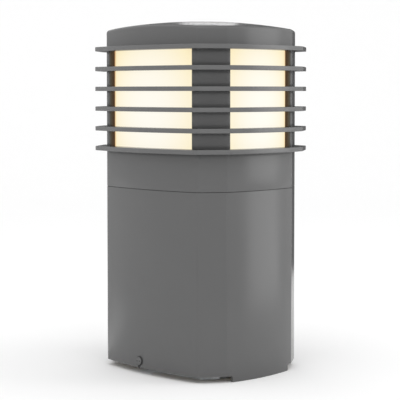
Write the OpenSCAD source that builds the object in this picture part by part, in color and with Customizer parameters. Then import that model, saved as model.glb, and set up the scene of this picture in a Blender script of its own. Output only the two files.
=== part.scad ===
// Bollard light: a bulged aluminium tube with a louvred lantern head.
// Four tie rods clamp the tube, the fins and the cap into one housing.
// The housing lifts off a base that carries the wiring and the lamp.
// Frame: origin on the ground under the centre, +Z up, the wide faces towards -Y and +Y.

/* [Overall size] */
// Height from the ground to the top of the domed cap
overall_h = 400; // [380:1:520]
// Size across the two narrow faces, along X
body_l = 202; // [180:1:260]
// Size across the two wide faces, along Y
body_w = 176; // [150:1:215]

/* [Plan shape] */
// Radius of the wide faces' bulge
wide_r = 350; // [280:5:450]
// Radius of the narrow faces' bulge
narrow_r = 210; // [180:5:320]
// How far the cut corner starts along a wide face, measured in from the side
corner_l = 26; // [18:1:30]
// How far the cut corner starts along a narrow face, measured in from the side
corner_w = 35; // [28:1:38]

/* [Tube] */
// Wall of the tube, the collar and the corner posts
wall = 3; // [2.5:0.1:3.6]
// Height of the joint line between the tube and the head, filled by its gasket
seam_gap = 0.6; // [0.4:0.1:1.5]
// How far the wide sides end above the ground
relief_h = 7; // [5:0.5:9]
// Distance from the end of a narrow face to the tongue that reaches the ground
tongue_setback = 8; // [2:0.5:20]
// Radius in the inside corners beside a tongue
tongue_r = 2.75; // [1:0.25:4]

/* [Head] */
// Thickness of a fin
fin_t = 5; // [4:0.5:7]
// Distance from one fin to the next
fin_pitch = 22.85; // [18:0.05:28]
// How far the fins stand out from the tube
fin_overhang = 12.5; // [8:0.5:18]
// Height of the collar between the joint and the lowest fin
collar_h = 41.5; // [34:0.5:50]
// Height of the cap from the top fin to the top of its dome
cap_h = 29; // [26:0.5:40]
// Wall of the cap's top
cap_t = 4; // [3:0.5:6]
// Radius of the cap's dome
dome_r = 600; // [500:10:900]
// How far a corner post wraps on to a wide face
post_wrap_l = 7; // [4:0.5:12]
// How far a corner post wraps on to a narrow face
post_wrap_w = 4; // [3:0.5:12]

/* [Diffuser] */
// Depth of the diffuser behind the faces
diffuser_inset = 6.5; // [5:0.5:8]
// Wall of the diffuser
diffuser_t = 2.5; // [2:0.5:3]
// Height of the seal under and over the diffuser
seal_h = 2; // [1:0.5:3]

/* [Tie rods] */
// Diameter of the tie rods
rod_d = 4; // [3:0.5:4.5]
// Distance of a rod's axis behind the inside of the tube's wall
rod_setback = 4.5; // [4.5:0.1:4.8]
// Height of the lower end of the screw channels
channel_z = 18; // [16:1:40]

/* [Base] */
// Thickness of the base plate
plate_t = 3; // [2:0.5:4]
// Distance of the base plate's edge behind the faces
plate_inset = 22; // [20:1:24]
// Bore of the cable grommet
cable_bore_r = 6; // [4:0.5:8]
// Radius of an anchor hole
anchor_r = 4; // [3:0.5:5]
// Distance between the anchor holes along X
anchor_l = 112; // [100:1:116]
// Distance between the anchor holes along Y
anchor_w = 64; // [60:1:68]
// Diameter of the two fixing screws
fixing_d = 5; // [4:0.5:6]
// Height of the fixing screws above the ground
fixing_z = 15; // [14:0.5:18]
// Distance of each fixing screw from the middle of its face
fixing_x = 10; // [6:1:20]

/* [Lamp] */
// Height of the lampholder's shelf above the joint line
shelf_rise = 12.5; // [5:0.5:16]
// Diameter of the lamp's globe
globe_d = 60; // [50:1:75]
// Length of the lamp, screw cap included
lamp_len = 108; // [100:1:115]
// Diameter of the lamp's screw cap
lamp_cap_d = 26.4; // [22:0.2:32]

/* [Clearances] */
// Gap between pieces that move past each other
move_gap = 0.3; // [0.2:0.05:0.6]
// Gap between the two pieces of a slip fit
slip_gap = 0.4; // [0.3:0.05:0.8]
// Gap between a thread and its hole
thread_gap = 0.05; // [0.02:0.01:0.1]

/* [Hidden] */
$fn = 96;

charcoal = [0.34, 0.34, 0.35];
opal = [0.98, 0.93, 0.82];
steel = [0.72, 0.73, 0.74];
brass = [0.78, 0.63, 0.32];
black = [0.08, 0.08, 0.08];
ceramic = [0.93, 0.92, 0.88];

// Overshoot of a cutting tool past the face that it cuts
cut = 1;
// Size of a tool that is larger than the whole object
far = 600;
// Facets on the plan's long arcs and on the dome
fine = 360;

function face_y(x, inset) = sqrt(pow(wide_r - inset, 2) - x * x) - (wide_r - body_w / 2);
function face_x(y, inset) = sqrt(pow(narrow_r - inset, 2) - y * y) - (narrow_r - body_l / 2);

// The cut corner's outer face: its two ends, its direction and its distance from the centre
wide_end = [body_l / 2 - corner_l, face_y(body_l / 2 - corner_l, 0)];
narrow_end = [face_x(body_w / 2 - corner_w, 0), body_w / 2 - corner_w];
corner_angle = atan2(narrow_end.x - wide_end.x, wide_end.y - narrow_end.y);
corner_d = wide_end.x * cos(corner_angle) + wide_end.y * sin(corner_angle);

// Heights of the head, from the cap down to the joint line
fin_count = 6;
head_top = overall_h - cap_h;
fin_z = head_top - fin_t - (fin_count - 1) * fin_pitch;
spacer_h = fin_pitch - fin_t;
collar_z = fin_z - collar_h;
seam_z = collar_z - seam_gap;
flange_t = 3;
ledge_z = fin_z - 13;
spigot_h = 12;
diffuser_z = ledge_z + flange_t + seal_h;
seal_top = head_top + 6;
diffuser_h = seal_top - seal_h - diffuser_z;
dome_z = overall_h - dome_r;

// Insets of the pieces behind the faces and behind the cut corners
rod_inset = wall + rod_setback;
rod_r = rod_d / 2;
rod_hole_r = rod_r + 0.2;
corner_wall = rod_inset + rod_hole_r + 1.5;
fin_inset = diffuser_inset - 1;
diffuser_corner = corner_wall + 0.8;
diffuser_step = 0.6;
seal_lip = 0.4;
ledge_lip = 3;
ledge_inset = diffuser_inset + diffuser_t + ledge_lip;
ledge_corner = diffuser_corner + diffuser_t + ledge_lip;
channel_r = 5;
spigot_t = 2.5;
spigot_inset = wall + slip_gap;
spigot_corner = rod_inset + channel_r + slip_gap;
gasket_in = 0.8;
gasket_w = 1.6;

// The windows between the corner posts, and the tongues
window_x = wide_end.x - post_wrap_l;
window_y = narrow_end.y - post_wrap_w;
tongue_y = narrow_end.y - tongue_setback;

// Tie rods, each behind the middle of a cut corner, and their hardware
rod_x = (wide_end.x + narrow_end.x) / 2 - rod_inset * cos(corner_angle);
rod_y = (wide_end.y + narrow_end.y) / 2 - rod_inset * sin(corner_angle);
rod_grip = 12;
rod_tail = 2;
nut_h = 3.2;
nut_r = 4.04;
washer_r = 4.2;
washer_t = 0.8;
nut_z = channel_z - washer_t - nut_h;
rod_z = nut_z - rod_tail;

// Fixing screws and their blocks
fixing_r = fixing_d / 2;
slot_r = fixing_r + 0.2;
head_r = fixing_r + 2;
head_h = 1.1;
head_edge = 0.3;
eye_r = 0.7;
eye_x = 2.2;
eye_depth = 0.8;
seal_washer_r = head_r + 0.8;
seal_washer_t = 0.5;
screw_len = 18;
tube_face = face_y(fixing_x - seal_washer_r, 0) + move_gap;
block_l = 24;
block_face = face_y(fixing_x + block_l / 2, wall) - slip_gap;
block_edge = face_y(fixing_x + block_l / 2, plate_inset) - slip_gap;
block_root = block_edge - 11;
block_low = relief_h + 1;
block_top = fixing_z + 9;

// Cable grommet
cable_y = -8;
grommet_hole_r = cable_bore_r + 8;
grommet_flange_r = grommet_hole_r + 3;
grommet_neck_r = cable_bore_r + 3;
grommet_flange_t = 2.5;
grommet_neck_h = 7;

// Gear column: a channel that stands behind the lamp's axis
column_l = 50;
column_d = 18;
column_t = 2;
column_back = 26;
foot_w = 14;
foot_screw_x = 15;
foot_screw_y = column_back + foot_w / 2;
tab_w = 12;
m4_r = 2;
m4_head_r = 3.6;
m4_head_h = 2.4;

// Lampholder and its shelf
shelf_z = seam_z + shelf_rise;
shelf_t = 2;
shelf_l = 52;
shelf_front = 24;
shelf_hole_r = 9;
shelf_screw_x = 19;
shelf_screw_y = 19;
shelf_screw_len = 5;
holder_z = shelf_z + shelf_t;
holder_wiring_r = 13;
holder_floor_z = holder_z + 9;
holder_floor_t = 3;
holder_h = 44;
holder_screw_len = 8;
m3_r = 1.5;
m3_head_r = 2.7;
m3_head_h = 1.8;
contact_z = holder_floor_z + holder_floor_t;
contact_r = 4;
contact_h = 3.5;
shell_t = 0.5;
shell_h = 26;
shell_seat = 0.1;

// Lamp
lamp_cap_r = lamp_cap_d / 2;
shell_r = lamp_cap_r + move_gap;
holder_bore_r = shell_r + shell_t + shell_seat;
holder_r = holder_bore_r + 5.9;
holder_screw_x = (holder_wiring_r + holder_r) / 2;
lamp_z = contact_z + contact_h + move_gap;
lamp_button_h = 1.5;
lamp_button_r = 4.5;
lamp_cap_h = 24;
thread_pitch = 3.6;
thread_depth = 0.6;
neck_h = 5;
globe_r = globe_d / 2;
globe_t = 1.5;
globe_drop = 12;
globe_z = lamp_z + lamp_len - globe_r;
globe_cut_r = sqrt(globe_r * globe_r - globe_drop * globe_drop);
neck_z = lamp_z + lamp_button_h + lamp_cap_h;

// Terminal block, leads and earth stud
terminal_z = 118;
terminal_l = 36;
terminal_d = 14;
terminal_h = 20;
clamp_z = terminal_z + terminal_h / 2;
terminal_y = column_back - column_t - terminal_d / 2;
pole_pitch = 11;
wire_hole_r = 1.6;
wire_depth = 7;
clamp_screw_r = 2.1;
clamp_screw_len = 4.5;
lead_r = 1.3;
// A lead is this much fatter where it turns
turn_swell = 0.08;
stud_x = 38;
stud_y = 4;
stud_r = 2.5;
stud_h = 14;
stud_nut_r = 4.6;
stud_nut_h = 4;
lug_r = 4.5;
lug_t = 1;
lug_reach = 10;

// The body's plan, set in behind its faces and behind its cut corners
module plan(face, corner) {
    reach = corner_d - corner;
    tip_x = reach / cos(corner_angle);
    tip_y = reach / sin(corner_angle);
    intersection() {
        translate([0, body_w / 2 - wide_r]) circle(wide_r - face, $fn = fine);
        translate([0, wide_r - body_w / 2]) circle(wide_r - face, $fn = fine);
        translate([body_l / 2 - narrow_r, 0]) circle(narrow_r - face, $fn = fine);
        translate([narrow_r - body_l / 2, 0]) circle(narrow_r - face, $fn = fine);
        polygon([[tip_x, 0], [0, tip_y], [-tip_x, 0], [0, -tip_y]]);
    }
}

// The space round the diffuser: behind the faces it runs almost to a window's edge, or step short of
// it, and behind a corner post it steps in to leave room for the tie rod
module stepped_plan(face, corner, step) {
    difference() {
        plan(face, 0);
        for (x = [0, 1], y = [0, 1]) mirror([x, 0]) mirror([0, y]) difference() {
            translate([window_x - step, window_y - step]) square(far);
            plan(0, corner);
        }
    }
}

module slab(z, height, face, corner) {
    translate([0, 0, z]) linear_extrude(height) plan(face, corner);
}

module stepped_slab(z, height, face, corner, step) {
    translate([0, 0, z]) linear_extrude(height) stepped_plan(face, corner, step);
}

// A flat ring between two insets of the plan
module ring(z, height, face, corner, inner_face, inner_corner) {
    translate([0, 0, z]) linear_extrude(height) difference() {
        plan(face, corner);
        plan(inner_face, inner_corner);
    }
}

module at_rods() {
    for (x = [-rod_x, rod_x], y = [-rod_y, rod_y]) translate([x, y, 0]) children();
}

module rod_holes(z, height, r) {
    at_rods() translate([0, 0, z]) cylinder(r = r, h = height);
}

// A tube of one radius along straight stretches, round at each turn
module lead(route) {
    for (i = [0 : len(route) - 2]) {
        step = route[i + 1] - route[i];
        length = norm(step);
        translate(route[i]) rotate([0, acos(step.z / length), atan2(step.y, step.x)])
            cylinder(r = lead_r, h = length, $fn = 24);
    }
    for (i = [1 : len(route) - 2]) translate(route[i]) sphere(r = lead_r + turn_swell, $fn = 24);
}

// A pan-head screw whose head stands on z = 0
module pan_screw(r, head_r, head_h, length) {
    translate([0, 0, -length]) cylinder(r = r, h = length);
    difference() {
        union() {
            cylinder(r = head_r, h = head_h * 0.6);
            translate([0, 0, head_h * 0.6]) cylinder(r1 = head_r, r2 = head_r * 0.7, h = head_h * 0.4);
        }
        translate([0, 0, head_h * 0.5]) cylinder(r = head_r * 0.45, h = head_h, $fn = 6);
    }
}

// ---- Base ----

module base_plate() {
    color(steel) difference() {
        slab(0, plate_t, plate_inset, plate_inset);
        for (x = [-anchor_l / 2, anchor_l / 2], y = [-anchor_w / 2, anchor_w / 2])
            translate([x, y, -cut]) cylinder(r = anchor_r, h = plate_t + 2 * cut);
        translate([0, cable_y, -cut]) cylinder(r = grommet_hole_r, h = plate_t + 2 * cut);
        for (x = [-foot_screw_x, foot_screw_x])
            translate([x, foot_screw_y, -cut]) cylinder(r = m4_r + thread_gap, h = plate_t + 2 * cut);
        translate([stud_x, stud_y, -cut]) cylinder(r = stud_r + thread_gap, h = plate_t + 2 * cut);
    }
}

// The block reaches out over the plate's edge to the inside of the wall, above the wide side's end
module screw_block() {
    difference() {
        translate([-block_l / 2 - fixing_x, 0, 0]) rotate([90, 0, 90]) linear_extrude(block_l) polygon([
            [-block_root, plate_t], [-block_edge, plate_t], [-block_edge, block_low],
            [-block_face, block_low], [-block_face, block_top], [-block_root, block_top]
        ]);
        translate([-fixing_x, -block_root + cut, fixing_z]) rotate([90, 0, 0])
            cylinder(r = fixing_r + thread_gap, h = block_face - block_root + 2 * cut);
    }
}

module screw_blocks() {
    color(steel) for (turn = [0, 180]) rotate([0, 0, turn]) screw_block();
}

module cable_grommet() {
    color(black) translate([0, cable_y, 0]) difference() {
        union() {
            translate([0, 0, slip_gap]) cylinder(r = grommet_hole_r - slip_gap, h = plate_t - slip_gap);
            translate([0, 0, plate_t]) cylinder(r = grommet_flange_r, h = grommet_flange_t);
            translate([0, 0, plate_t + grommet_flange_t])
                cylinder(r1 = grommet_neck_r + 2, r2 = grommet_neck_r, h = grommet_neck_h);
        }
        translate([0, 0, -cut]) cylinder(r = cable_bore_r, h = far / 4);
    }
}

module gear_column() {
    tall = shelf_z - plate_t;
    color(steel) difference() {
        translate([0, 0, plate_t]) union() {
            translate([-column_l / 2, column_back - column_t, 0]) cube([column_l, column_t, tall]);
            for (x = [-column_l / 2, column_l / 2 - column_t])
                translate([x, column_back - column_d, 0]) cube([column_t, column_d, tall]);
            translate([-column_l / 2, column_back - column_t, 0])
                cube([column_l, foot_w + column_t, column_t]);
            translate([-column_l / 2, column_back - tab_w - column_t, tall - column_t])
                cube([column_l, tab_w + column_t, column_t]);
        }
        for (x = [-foot_screw_x, foot_screw_x])
            translate([x, foot_screw_y, 0]) cylinder(r = m4_r + 0.2, h = plate_t + column_t + cut);
        for (x = [-shelf_screw_x, shelf_screw_x])
            translate([x, shelf_screw_y, shelf_z - column_t - cut])
                cylinder(r = m4_r + thread_gap, h = column_t + 2 * cut);
    }
}

module column_screws() {
    color(steel) for (x = [-foot_screw_x, foot_screw_x])
        translate([x, foot_screw_y, plate_t + column_t])
            pan_screw(m4_r, m4_head_r, m4_head_h, plate_t + column_t - 0.5);
}

module lamp_shelf() {
    color(steel) translate([0, 0, shelf_z]) linear_extrude(shelf_t) difference() {
        translate([-shelf_l / 2, -shelf_front]) square([shelf_l, shelf_front + column_back]);
        circle(shelf_hole_r);
        for (x = [-holder_screw_x, holder_screw_x]) translate([x, 0]) circle(m3_r + 0.2);
        for (x = [-shelf_screw_x, shelf_screw_x]) translate([x, shelf_screw_y]) circle(m4_r + 0.2);
    }
}

module shelf_screws() {
    color(steel) for (x = [-shelf_screw_x, shelf_screw_x])
        translate([x, shelf_screw_y, holder_z]) pan_screw(m4_r, m4_head_r, m4_head_h, shelf_screw_len);
}

// ---- Lampholder and wiring ----

module holder_body() {
    color(ceramic) difference() {
        translate([0, 0, holder_z]) union() {
            cylinder(r = holder_r, h = holder_h - 2);
            translate([0, 0, holder_h - 2]) cylinder(r1 = holder_r, r2 = holder_r - 2, h = 2);
        }
        translate([0, 0, holder_z - cut]) cylinder(r = holder_wiring_r, h = holder_floor_z - holder_z + cut);
        translate([0, 0, contact_z]) cylinder(r = holder_bore_r, h = holder_h);
        for (x = [-holder_screw_x, holder_screw_x])
            translate([x, 0, holder_z - cut]) cylinder(r = m3_r + thread_gap, h = holder_screw_len + cut);
    }
}

module holder_shell() {
    color(brass) translate([0, 0, contact_z]) difference() {
        cylinder(r = shell_r + shell_t, h = shell_h);
        translate([0, 0, -cut]) cylinder(r = shell_r, h = shell_h + 2 * cut);
    }
}

module holder_contact() {
    color(brass) translate([0, 0, contact_z]) {
        cylinder(r = contact_r, h = contact_h - 1);
        translate([0, 0, contact_h - 1]) cylinder(r1 = contact_r, r2 = contact_r - 1, h = 1);
    }
}

module holder_screws() {
    color(steel) for (x = [-holder_screw_x, holder_screw_x])
        translate([x, 0, shelf_z]) mirror([0, 0, 1])
            pan_screw(m3_r, m3_head_r, m3_head_h, shelf_t + holder_screw_len - 1);
}

module terminal_block() {
    color(ceramic) difference() {
        translate([-terminal_l / 2, terminal_y - terminal_d / 2, terminal_z])
            cube([terminal_l, terminal_d, terminal_h]);
        for (pole = [-1, 0, 1]) translate([pole * pole_pitch, terminal_y, 0]) {
            translate([0, 0, terminal_z + terminal_h - wire_depth])
                cylinder(r = wire_hole_r, h = wire_depth + cut);
            translate([0, 0, terminal_z - cut]) cylinder(r = wire_hole_r, h = wire_depth + cut);
            translate([0, -terminal_d / 2 + clamp_screw_len, clamp_z])
                rotate([90, 0, 0]) cylinder(r = clamp_screw_r + thread_gap, h = clamp_screw_len + cut);
        }
    }
}

module terminal_screws() {
    color(brass) for (pole = [-1, 0, 1])
        translate([pole * pole_pitch, terminal_y - terminal_d / 2 + clamp_screw_len, clamp_z])
            rotate([90, 0, 0]) difference() {
                cylinder(r = clamp_screw_r, h = clamp_screw_len - 0.5);
                translate([-0.4, -clamp_screw_r - cut, clamp_screw_len - 1.5])
                    cube([0.8, 2 * clamp_screw_r + 2 * cut, 2]);
            }
}

module live_lead() {
    color([0.45, 0.26, 0.14]) lead([
        [-pole_pitch, terminal_y, terminal_z + terminal_h - wire_depth],
        [-pole_pitch, terminal_y, shelf_z - 32], [-5, 2, shelf_z - 12], [-5, 2, holder_floor_z]
    ]);
}

module neutral_lead() {
    color([0.15, 0.35, 0.75]) lead([
        [0, terminal_y, terminal_z + terminal_h - wire_depth],
        [0, terminal_y, shelf_z - 32], [4, -3, shelf_z - 12], [4, -3, holder_floor_z]
    ]);
}

// The earth lead ends in a ring lug under the stud's nut
module earth_lead() {
    color([0.35, 0.65, 0.2]) {
        lead([
            [pole_pitch, terminal_y, terminal_z + wire_depth], [pole_pitch, terminal_y, 104],
            [pole_pitch, 2, 88], [stud_x, stud_y - lug_reach, 60],
            [stud_x, stud_y - lug_reach, plate_t + lug_t / 2]
        ]);
        translate([stud_x, stud_y, plate_t]) difference() {
            union() {
                cylinder(r = lug_r, h = lug_t);
                translate([-2, -lug_reach - 2, 0]) cube([4, lug_reach, lug_t]);
            }
            translate([0, 0, -cut]) cylinder(r = stud_r + 0.2, h = lug_t + 2 * cut);
        }
    }
}

module earth_stud() {
    color(brass) translate([stud_x, stud_y, 0]) {
        translate([0, 0, 0.5]) cylinder(r = stud_r, h = plate_t + stud_h - 0.5);
        translate([0, 0, plate_t + lug_t]) cylinder(r = stud_nut_r, h = stud_nut_h, $fn = 6);
    }
}

// ---- Tube ----

// Everything below the wide sides' lower edge, apart from the tongues, with round inside corners
module relief_profile() {
    for (side = [0, 1]) mirror([side, 0]) {
        translate([tongue_y + tongue_r, -cut]) square([far, relief_h + cut]);
        translate([tongue_y, -cut]) square([far, relief_h + cut - tongue_r]);
        translate([tongue_y + tongue_r, relief_h - tongue_r]) circle(tongue_r);
    }
}

module screw_slot() {
    translate([-fixing_x, -body_w / 2 + wall + cut, 0]) {
        translate([0, 0, fixing_z]) rotate([90, 0, 0]) cylinder(r = slot_r, h = wall + 3 * cut);
        translate([-slot_r, -wall - 3 * cut, 0]) cube([2 * slot_r, wall + 3 * cut, fixing_z]);
    }
}

module body_tube() {
    color(charcoal) difference() {
        union() {
            ring(0, seam_z, 0, 0, wall, wall);
            at_rods() translate([0, 0, channel_z]) cylinder(r = channel_r, h = seam_z - channel_z);
        }
        rod_holes(channel_z - cut, seam_z, rod_hole_r);
        rotate([90, 0, 90]) linear_extrude(far, center = true) relief_profile();
        for (turn = [0, 180]) rotate([0, 0, turn]) screw_slot();
    }
}

module seam_gasket() {
    color(black) ring(seam_z, seam_gap, gasket_in, gasket_in, gasket_in + gasket_w, gasket_in + gasket_w);
}

// ---- Head ----

module head_collar() {
    color(charcoal) difference() {
        union() {
            slab(collar_z, collar_h, 0, 0);
            slab(collar_z - spigot_h, spigot_h + cut, spigot_inset, spigot_corner);
        }
        slab(collar_z - spigot_h - cut, far, ledge_inset, ledge_corner);
        slab(
            collar_z - spigot_h - cut, spigot_h + flange_t + 2 * cut,
            spigot_inset + spigot_t, spigot_corner + spigot_t
        );
        slab(collar_z + flange_t, ledge_z - collar_z - flange_t, wall, corner_wall);
        stepped_slab(ledge_z + flange_t, collar_h, wall, corner_wall, 0);
        rod_holes(collar_z - cut, collar_h + 2 * cut, rod_hole_r);
    }
}

// Five spacers of one corner, one between each two fins
module corner_post(right, rear) {
    color(charcoal) mirror([1 - right, 0, 0]) mirror([0, 1 - rear, 0])
        for (level = [0 : fin_count - 2]) translate([0, 0, fin_z + fin_t + level * fin_pitch])
            linear_extrude(spacer_h) difference() {
                intersection() {
                    plan(0, 0);
                    translate([window_x, window_y]) square(far);
                }
                plan(wall, corner_wall);
                translate([rod_x, rod_y]) circle(rod_hole_r);
            }
}

module corner_post_1() { corner_post(1, 0); }
module corner_post_2() { corner_post(1, 1); }
module corner_post_3() { corner_post(0, 1); }
module corner_post_4() { corner_post(0, 0); }

// Fins are counted from the top
module louvre_fin(place) {
    z = fin_z + (fin_count - place) * fin_pitch;
    color(charcoal) difference() {
        slab(z, fin_t, -fin_overhang, -fin_overhang);
        stepped_slab(z - cut, fin_t + 2 * cut, fin_inset, corner_wall, 0);
        rod_holes(z - cut, fin_t + 2 * cut, rod_hole_r);
    }
}

module louvre_fin_1() { louvre_fin(1); }
module louvre_fin_2() { louvre_fin(2); }
module louvre_fin_3() { louvre_fin(3); }
module louvre_fin_4() { louvre_fin(4); }
module louvre_fin_5() { louvre_fin(5); }
module louvre_fin_6() { louvre_fin(6); }

module tie_rods() {
    color(steel) at_rods() translate([0, 0, rod_z]) cylinder(r = rod_r, h = head_top + rod_grip - rod_z);
}

module rod_nuts() {
    color(steel) at_rods() translate([0, 0, nut_z]) difference() {
        cylinder(r = nut_r, h = nut_h, $fn = 6);
        translate([0, 0, -cut]) cylinder(r = rod_r + thread_gap, h = nut_h + 2 * cut);
    }
}

module rod_washers() {
    color(steel) at_rods() translate([0, 0, nut_z + nut_h]) difference() {
        cylinder(r = washer_r, h = washer_t);
        translate([0, 0, -cut]) cylinder(r = rod_hole_r, h = washer_t + 2 * cut);
    }
}

// The diffuser's ring, with a lip added on both sides of its wall
module sleeve(z, height, lip) {
    inner = diffuser_t + lip;
    translate([0, 0, z]) linear_extrude(height) difference() {
        stepped_plan(diffuser_inset - lip, diffuser_corner - lip, diffuser_step - lip);
        stepped_plan(diffuser_inset + inner, diffuser_corner + inner, diffuser_step + inner);
    }
}

module diffuser() {
    color(opal) sleeve(diffuser_z, diffuser_h, 0);
}

module diffuser_seal(z) {
    color(black) sleeve(z, seal_h, seal_lip);
}

module lower_seal() { diffuser_seal(ledge_z + flange_t); }
module upper_seal() { diffuser_seal(seal_top - seal_h); }

// The sphere's poles are turned to the sides, away from the cap
module dome(r) {
    translate([0, 0, dome_z]) rotate([90, 0, 0]) sphere(r = r, $fn = fine);
}

module cap() {
    color(charcoal) difference() {
        intersection() {
            slab(head_top, cap_h + cut, 0, 0);
            dome(dome_r);
        }
        stepped_slab(head_top - cut, seal_top - head_top + cut, wall, corner_wall, 0);
        intersection() {
            slab(seal_top - cut, cap_h, ledge_inset, ledge_corner);
            dome(dome_r - cap_t);
        }
        rod_holes(head_top - cut, rod_grip + 2 * cut, rod_r + thread_gap);
    }
}

// ---- Lamp ----

module bulb_contact() {
    color(brass) translate([0, 0, lamp_z]) {
        cylinder(r1 = lamp_button_r - 1.5, r2 = lamp_button_r, h = lamp_button_h / 2);
        translate([0, 0, lamp_button_h / 2]) cylinder(r = lamp_button_r, h = lamp_button_h / 2);
    }
}

module bulb_base() {
    turns = floor(lamp_cap_h / thread_pitch) - 1;
    color(steel) translate([0, 0, lamp_z + lamp_button_h]) {
        cylinder(r = lamp_cap_r - thread_depth, h = lamp_cap_h);
        for (turn = [1 : turns]) translate([0, 0, turn * thread_pitch])
            rotate_extrude() translate([lamp_cap_r - 1, 0]) circle(1, $fn = 32);
    }
}

module bulb_body() {
    color(ceramic) translate([0, 0, neck_z]) {
        cylinder(r = lamp_cap_r, h = neck_h);
        translate([0, 0, neck_h])
            cylinder(r1 = lamp_cap_r, r2 = globe_cut_r, h = globe_z - globe_drop - neck_z - neck_h);
    }
}

module bulb_globe() {
    color(opal) difference() {
        translate([0, 0, globe_z]) sphere(r = globe_r);
        translate([0, 0, globe_z]) sphere(r = globe_r - globe_t);
        translate([0, 0, globe_z - globe_drop - far / 2]) cube(far, center = true);
    }
}

// ---- Fixing screws ----

// A low head with two round eyes for a pin driver, standing on its washer
module fixing_screw() {
    translate([0, 0, seal_washer_t]) difference() {
        union() {
            translate([0, 0, -screw_len]) cylinder(r = fixing_r, h = screw_len);
            cylinder(r = head_r, h = head_h - head_edge);
            translate([0, 0, head_h - head_edge])
                cylinder(r1 = head_r, r2 = head_r - head_edge, h = head_edge);
        }
        for (x = [-eye_x, eye_x]) translate([x, 0, head_h - eye_depth])
            cylinder(r = eye_r, h = eye_depth + cut);
    }
}

module fixing_washer() {
    difference() {
        cylinder(r = seal_washer_r, h = seal_washer_t);
        translate([0, 0, -cut]) cylinder(r = fixing_r + thread_gap, h = seal_washer_t + 2 * cut);
    }
}

// Puts a piece that stands on z = 0 on the front wall's face, and the rear one half a turn round
module at_fixing(half_turn) {
    rotate([0, 0, half_turn]) translate([-fixing_x, -tube_face, fixing_z]) rotate([90, 0, 0]) children();
}

module fixing_screw_front() {
    color(charcoal) at_fixing(0) fixing_screw();
}

module fixing_screw_rear() {
    color(charcoal) at_fixing(180) fixing_screw();
}

module fixing_washer_front() {
    color(black) at_fixing(0) fixing_washer();
}

module fixing_washer_rear() {
    color(black) at_fixing(180) fixing_washer();
}

base_plate();
screw_blocks();
cable_grommet();
gear_column();
column_screws();
lamp_shelf();
shelf_screws();
holder_body();
holder_shell();
holder_contact();
holder_screws();
terminal_block();
terminal_screws();
earth_stud();
live_lead();
neutral_lead();
earth_lead();
body_tube();
seam_gasket();
head_collar();
corner_post_1();
corner_post_2();
corner_post_3();
corner_post_4();
louvre_fin_1();
louvre_fin_2();
louvre_fin_3();
louvre_fin_4();
louvre_fin_5();
louvre_fin_6();
tie_rods();
rod_nuts();
rod_washers();
diffuser();
lower_seal();
upper_seal();
cap();
bulb_globe();
bulb_body();
bulb_base();
bulb_contact();
fixing_screw_front();
fixing_screw_rear();
fixing_washer_front();
fixing_washer_rear();
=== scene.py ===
import math

import bmesh
import bpy
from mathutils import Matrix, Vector


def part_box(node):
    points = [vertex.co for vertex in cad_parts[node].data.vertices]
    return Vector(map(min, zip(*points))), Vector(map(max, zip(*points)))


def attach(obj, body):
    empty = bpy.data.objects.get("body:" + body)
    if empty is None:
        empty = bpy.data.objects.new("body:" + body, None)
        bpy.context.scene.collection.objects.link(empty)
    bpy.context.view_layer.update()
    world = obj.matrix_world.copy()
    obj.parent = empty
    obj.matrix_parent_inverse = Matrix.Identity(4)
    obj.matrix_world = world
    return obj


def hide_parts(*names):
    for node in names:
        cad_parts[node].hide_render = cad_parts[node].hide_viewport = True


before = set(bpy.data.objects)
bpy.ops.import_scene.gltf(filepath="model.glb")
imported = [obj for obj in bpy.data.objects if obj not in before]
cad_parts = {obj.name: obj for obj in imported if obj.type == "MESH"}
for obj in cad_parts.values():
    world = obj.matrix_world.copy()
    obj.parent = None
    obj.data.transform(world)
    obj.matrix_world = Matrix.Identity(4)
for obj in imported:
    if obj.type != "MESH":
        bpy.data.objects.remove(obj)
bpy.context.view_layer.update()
print("frame loaded:", len(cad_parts), "nodes")


camera = {
    "focal": 121.4,
    "sensor": 36,
    "farClip": 50,
    "place": (1.1165, -1.1033, 0.3196),
    "heading": 45.381,     # degrees to the left of +Y
    "tilt": 3.24,          # degrees down
    "shiftY": -0.08,
}


def addCamera():
    data = bpy.data.cameras.new("camera")
    data.lens = camera["focal"]
    data.sensor_width = camera["sensor"]
    data.shift_y = camera["shiftY"]
    data.clip_end = camera["farClip"]
    obj = bpy.data.objects.new("camera", data)
    heading = math.radians(camera["heading"])
    tilt = math.radians(camera["tilt"])
    aim = Vector((
        -math.sin(heading) * math.cos(tilt),
        math.cos(heading) * math.cos(tilt),
        -math.sin(tilt),
    ))
    obj.rotation_euler = aim.to_track_quat("-Z", "Y").to_euler()
    obj.location = camera["place"]
    bpy.context.scene.collection.objects.link(obj)
    bpy.context.scene.camera = obj


addCamera()


# The faces' bulges and the cut corners, in metres, as on the metal parts
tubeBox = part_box("body_tube")
plan = {
    "halfLength": tubeBox[1].x,
    "halfWidth": tubeBox[1].y,
    "wideRadius": 0.350,
    "narrowRadius": 0.210,
    "cornerAlongWide": 0.026,
    "cornerAlongNarrow": 0.035,
    "bendRadius": 0.006,
    "leastBend": 0.001,
}
# How many stretches an outline's arcs, bends and flats are drawn with
stretches = {"narrow": 13, "wide": 18, "bend": 6, "flat": 5}
# How far a cutter runs past what it cuts
past = 0.001


def wideY(x, inset=0.0):
    r = plan["wideRadius"]
    return math.sqrt((r - inset) ** 2 - x * x) - (r - plan["halfWidth"])


def narrowX(y, inset=0.0):
    r = plan["narrowRadius"]
    return math.sqrt((r - inset) ** 2 - y * y) - (r - plan["halfLength"])


wideEnd = Vector((plan["halfLength"] - plan["cornerAlongWide"], 0))
wideEnd.y = wideY(wideEnd.x)
narrowEnd = Vector((0, plan["halfWidth"] - plan["cornerAlongNarrow"]))
narrowEnd.x = narrowX(narrowEnd.y)
cornerAngle = math.atan2(narrowEnd.x - wideEnd.x, wideEnd.y - narrowEnd.y)
cornerNormal = Vector((math.cos(cornerAngle), math.sin(cornerAngle)))
cornerReach = wideEnd.dot(cornerNormal)


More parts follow.
